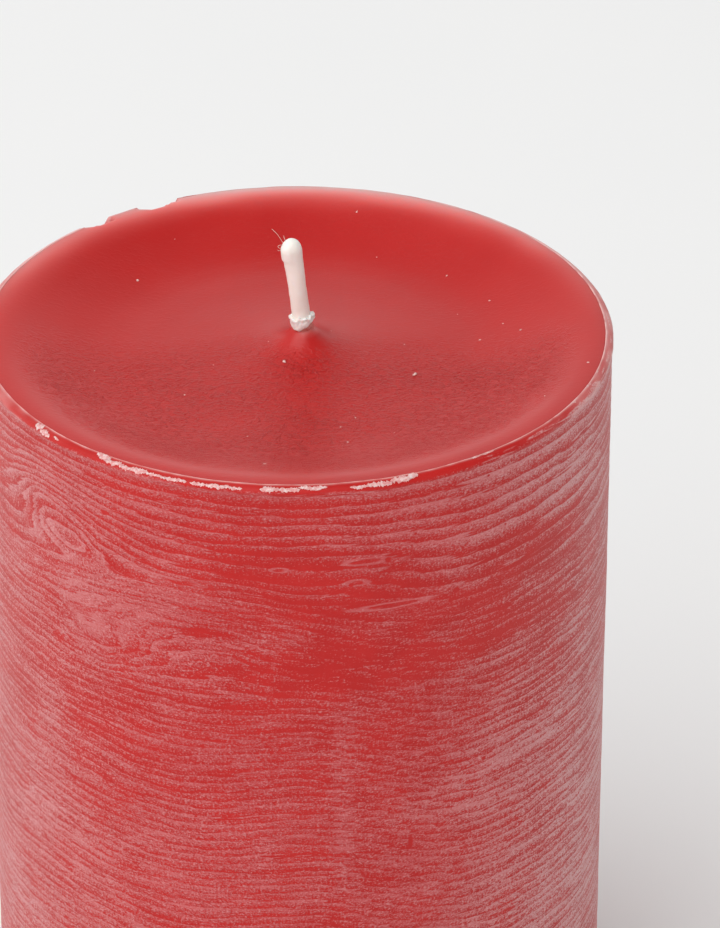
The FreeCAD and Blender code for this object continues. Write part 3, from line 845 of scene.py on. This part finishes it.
def chip(a0, a1, u0, u1, seed, thick=0.07, ragged=0.55, step_=0.20):
    n = max(5, int((a1 - a0) / step_) + 1)
    m = 7
    aa = np.linspace(a0, a1, n)
    g = np.random.default_rng(seed)
    k = np.sin(np.linspace(0, math.pi, n)) ** 0.35
    mid_ = (u0 + u1) / 2 + 0.10 * np.interp(np.arange(n), np.linspace(0, n - 1, max(3, n // 5)), g.uniform(-1, 1, max(3, n // 5)))
    w0 = (u1 - u0) / 2
    lo = mid_ - w0 * k * (1 + ragged * g.uniform(-1, 1, n) + 0.25 * np.interp(np.arange(n), np.linspace(0, n - 1, max(3, n // 4)), g.uniform(-1, 1, max(3, n // 4))))
    hi = mid_ + w0 * k * (1 + ragged * g.uniform(-1, 1, n) + 0.25 * np.interp(np.arange(n), np.linspace(0, n - 1, max(3, n // 4)), g.uniform(-1, 1, max(3, n // 4))))
    lo, hi = np.clip(lo, -0.05, 1), np.clip(hi, 0.05, 1.02)
    top, bot = [], []
    for i in range(n):
        for j in range(m):
            f = j / (m - 1)
            u = lo[i] + (hi[i] - lo[i]) * f
            r, z = bevel_point(np.clip(u, 0, 1))
            z = z + max(0.0, -u) * 0.1
            e = thick * math.sin(math.pi * min(1, max(0, 0.12 + 0.76 * f))) * (0.75 + 0.5 * g.random()) * (0.4 + 0.6 * k[i])
            th_ = (aa[i] + g.uniform(-0.05, 0.05)) * RAD
            rt, zt = min(r + e * 0.40, 35.02), min(z + e * 0.9, 100.05)
            top.append((rt * math.sin(th_), -rt * math.cos(th_), zt))
            rb, zb = r - 0.06, z - 0.10
            bot.append((rb * math.sin(th_), -rb * math.cos(th_), zb))
    p = top + bot
    f = []
    N = n * m
    for i in range(n - 1):
        for j in range(m - 1):
            a = i * m + j
            f.append((a, a + 1, a + m + 1, a + m))
            f.append((N + a, N + a + m, N + a + m + 1, N + a + 1))
    edge = [j for j in range(m)] + [i * m + m - 1 for i in range(1, n)] + [(n - 1) * m + j for j in range(m - 2, -1, -1)] + [i * m for i in range(n - 2, 0, -1)]
    for q in range(len(edge)):
        a, b = edge[q], edge[(q + 1) % len(edge)]
        f.append((a, N + a, N + b, b))
    return p, f


chips = [
    (-52.6, -50.4, 0.15, 0.80, 1, 0.05), (-50.8, -48.0, 0.42, 0.90, 2, 0.05), (-47.2, -45.6, 0.5, 0.7, 26, 0.03),
    (-37.0, -33.8, -0.05, 0.60, 3, 0.07), (-34.6, -30.8, 0.22, 0.80, 4, 0.08), (-31.4, -26.0, 0.34, 0.88, 5, 0.07),
    (-26.4, -22.4, 0.52, 0.84, 6, 0.05), (-22.9, -18.6, 0.48, 0.80, 21, 0.04),
    (-18.0, -15.0, 0.50, 0.84, 7, 0.05), (-15.2, -11.6, 0.50, 0.92, 22, 0.06), (-12.0, -8.6, 0.42, 0.80, 23, 0.05),
    (-5.6, -2.2, 0.30, 0.86, 8, 0.07), (-2.6, 1.4, 0.40, 0.84, 24, 0.05), (1.0, 6.2, 0.26, 0.64, 9, 0.07),
    (10.0, 13.4, 0.42, 0.74, 10, 0.05), (13.0, 17.6, 0.36, 0.84, 11, 0.07), (17.2, 21.0, 0.16, 0.78, 25, 0.07),
    (20.6, 22.5, -0.05, 0.62, 12, 0.07),
    (33.3, 35.2, 0.0, 0.16, 13, 0.03), (35.8, 38.3, 0.0, 0.18, 14, 0.03), (61.0, 62.0, 0.0, 0.20, 15, 0.03),
    (67.2, 69.0, 0.0, 0.22, 16, 0.03), (73.0, 73.8, 0.0, 0.22, 17, 0.03),
]
pts, faces = [], []
for a0, a1, u0, u1, sd, th_ in chips:
    p, f = chip(a0, a1, u0, u1, 300 + sd, th_)
    faces += [tuple(i + len(pts) for i in q) for q in f]
    pts += p
H = Mat("chip_wax")
hn = H.noise(H.pos(), 2.8, 4.0, 0.65)
hc = H.mix(H.step(hn, 0.38, 0.68), (0.76, 0.30, 0.29, 1), (0.90, 0.66, 0.64, 1))
chip_m = H.wax(hc, 0.6, sss=0.3, radius=(0.5, 0.25, 0.2), ior=1.43, normal=H.bump(hn, 0.12, 0.9), spec=0.4)
chips_o = make("lip_chips", pts, faces, chip_m)
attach(chips_o, "root")


# ---------------------------------------------------------------- crumbs lying on the top
def top_height(x, y):
    r = math.hypot(x, y)
    rr = r if r > 15 else math.hypot(x - WICK_X * (1 - float(smooth(3, 15, r))), y)
    return float(monotone(DISH_R, DISH_Z, np.array([max(1.2, rr)]))[0])


crumbs = [(6.8, 29.3, 0.22), (-18.0, 16.2, 0.20), (-27.9, 15.2, 0.17), (-1.2, -4.0, 0.20), (13.1, -4.6, 0.24), (-3.0, -26.5, 0.13),
          (31.9, -7.6, 0.14), (16.9, 17.3, 0.13), (21.6, 11.3, 0.13), (18.0, 9.4, 0.10), (20.4, 3.4, 0.11), (23.0, 6.2, 0.10),
          (15.3, 27.6, 0.09), (16.3, 27.7, 0.09), (-3.0, 0.2, 0.08), (3.9, 2.7, 0.08), (6.6, -14.0, 0.11), (5.0, -16.0, 0.09),
          (10.8, -17.3, 0.08), (5.8, -19.3, 0.10), (-5.0, -18.0, 0.08), (24.9, 4.0, 0.12), (-12.0, -9.0, 0.09), (-9.0, -3.0, 0.07),
          (9.0, 22.0, 0.08), (-14.0, 24.0, 0.07), (-22.0, -4.0, 0.08), (27.0, -14.0, 0.09), (1.0, 12.0, 0.07), (12.0, 2.0, 0.07)]
pts, faces = [], []
import bmesh
g = np.random.default_rng(77)
for x, y, rad in crumbs:
    bm = bmesh.new()
    bmesh.ops.create_icosphere(bm, subdivisions=2, radius=1.0)
    z0 = top_height(x, y)
    sx, sy, sz = rad * g.uniform(0.8, 1.5), rad * g.uniform(0.6, 1.0), rad * g.uniform(0.35, 0.6)
    turn_ = g.uniform(0, math.pi)
    start = len(pts)
    for v in bm.verts:
        k = 1 + 0.28 * math.sin(3.1 * v.co.x + 2.3 * v.co.y + x) * math.cos(2.7 * v.co.z + y) + g.uniform(-0.12, 0.12)
        vx, vy, vz = v.co.x * sx * k, v.co.y * sy * k, v.co.z * sz * k
        pts.append((x + vx * math.cos(turn_) - vy * math.sin(turn_), y + vx * math.sin(turn_) + vy * math.cos(turn_), z0 + vz + sz * 0.35))
    faces += [tuple(v.index + start for v in f.verts) for f in bm.faces]
    bm.free()
U = Mat("crumb_wax")
un = U.noise(U.pos(), 4.0, 2.0, 0.5)
crumb_m = U.wax(U.mix(un, (0.80, 0.42, 0.39, 1), (0.88, 0.70, 0.66, 1)), 0.5, sss=0.3, radius=(0.4, 0.2, 0.15), normal=U.bump(un, 0.05, 0.6))
crumbs_o = make("top_crumbs", pts, faces, crumb_m)
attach(crumbs_o, "root")

# ---------------------------------------------------------------- tinplate tab: the CAD node, with a worn tin finish
M_ = Mat("tinplate")
mn = M_.noise(M_.pos(), 0.8, 4.0, 0.6)
mc = M_.mix(M_.step(mn, 0.35, 0.7), (0.62, 0.61, 0.58, 1), (0.50, 0.49, 0.47, 1))
tin = M_.wax(mc, M_.fmix(mn, 0.22, 0.48), metallic=1.0, normal=M_.bump(M_.noise(M_.pos(), 3.0, 3.0, 0.5), 0.02, 0.3))
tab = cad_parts["wick_sustainer"]
tab.data.materials.clear()
tab.data.materials.append(tin)

# ---------------------------------------------------------------- floor, light, camera
NF = 128
sweep = [(60, -0.02), (200, -0.02), (500, -0.02), (1200, -0.02), (2000, -0.02), (2400, 12), (2800, 50), (3200, 115), (3600, 210),
         (4000, 335), (4400, 490), (4800, 680), (5200, 900)]
rows = [polar(np.full(NF, r), np.linspace(0, 2 * math.pi, NF, endpoint=False), np.full(NF, z)) for r, z in sweep]
pts = np.concatenate(rows + [np.array([[0, 0, -0.02]])])
faces = strip_faces(len(rows), NF) + fan(0, NF, len(rows) * NF, True)
G = Mat("floor_paint")
gn = G.noise(G.pos(), 0.02, 2.0, 0.5)
floor_m = G.wax(G.mix(gn, (0.905, 0.908, 0.908, 1), (0.920, 0.920, 0.916, 1)), 0.85, spec=0.2)
floor = make("floor", pts, faces, floor_m)

world = bpy.data.worlds.new("studio")
bpy.context.scene.world = world
world.use_nodes = True
nt = world.node_tree
nt.nodes.clear()
wo = nt.nodes.new("ShaderNodeOutputWorld")
bg = nt.nodes.new("ShaderNodeBackground")
tc = nt.nodes.new("ShaderNodeTexCoord")
sp = nt.nodes.new("ShaderNodeSeparateXYZ")
ramp = nt.nodes.new("ShaderNodeFloatCurve")
curve = ramp.mapping.curves[0]
knots = [(0.0, 0.46), (0.14, 0.52), (0.34, 0.80), (0.56, 0.80), (0.72, 0.48), (1.0, 0.30)]
while len(curve.points) < len(knots):
    curve.points.new(0.5, 0.5)
for p_, (a_, b_) in zip(curve.points, knots):
    p_.location = (a_, b_)
ramp.mapping.update()
nt.links.new(tc.outputs["Generated"], sp.inputs[0])
nt.links.new(sp.outputs[2], ramp.inputs["Value"])
turn_r = nt.nodes.new("ShaderNodeMapRange")
turn_r.interpolation_type = "SMOOTHSTEP"
for key, val in (("From Min", -0.15), ("From Max", 0.65), ("To Min", 1.0), ("To Max", 0.78)):
    turn_r.inputs[key].default_value = val
nt.links.new(sp.outputs[0], turn_r.inputs["Value"])
dim = nt.nodes.new("ShaderNodeMath")
dim.operation = "MULTIPLY"
nt.links.new(ramp.outputs[0], dim.inputs[0])
nt.links.new(turn_r.outputs[0], dim.inputs[1])
nt.links.new(dim.outputs[0], bg.inputs["Strength"])
bg.inputs["Color"].default_value = (1.0, 0.998, 0.993, 1)
nt.links.new(bg.outputs[0], wo.inputs[0])


def softbox(name, at, look, size, power, tint=(1, 1, 1)):
    d = bpy.data.lights.new(name, "AREA")
    d.shape = "RECTANGLE"
    d.size, d.size_y = size
    d.energy = power
    d.color = tint
    o = bpy.data.objects.new(name, d)
    bpy.context.scene.collection.objects.link(o)
    o.location = at
    from mathutils import Vector
    o.rotation_euler = (Vector(look) - Vector(at)).to_track_quat("-Z", "Y").to_euler()
    return o


softbox("key", (-0.84, -0.82, 1.66), (0, 0, 0.05), (2.4, 2.4), 36.0)
rim = softbox("rim", (0.15, 1.7, 0.30), (0, 0, 0.09), (2.2, 0.5), 2.2)
rim.visible_camera = False

cam_d = bpy.data.cameras.new("camera")
cam = bpy.data.objects.new("camera", cam_d)
bpy.context.scene.collection.objects.link(cam)
cam.location = (0.007095, -0.52413, 0.38600)
cam.rotation_euler = (59.944 * RAD, 0.0, 0.0)
cam_d.lens = 210.6
cam_d.sensor_width = 36.0
cam_d.clip_start, cam_d.clip_end = 0.01, 50.0
bpy.context.scene.camera = cam
bpy.context.scene.view_settings.view_transform = "Standard"
bpy.context.scene.view_settings.look = "None"
bpy.context.scene.view_settings.exposure = 0.0
bpy.context.scene.view_settings.gamma = 1.0
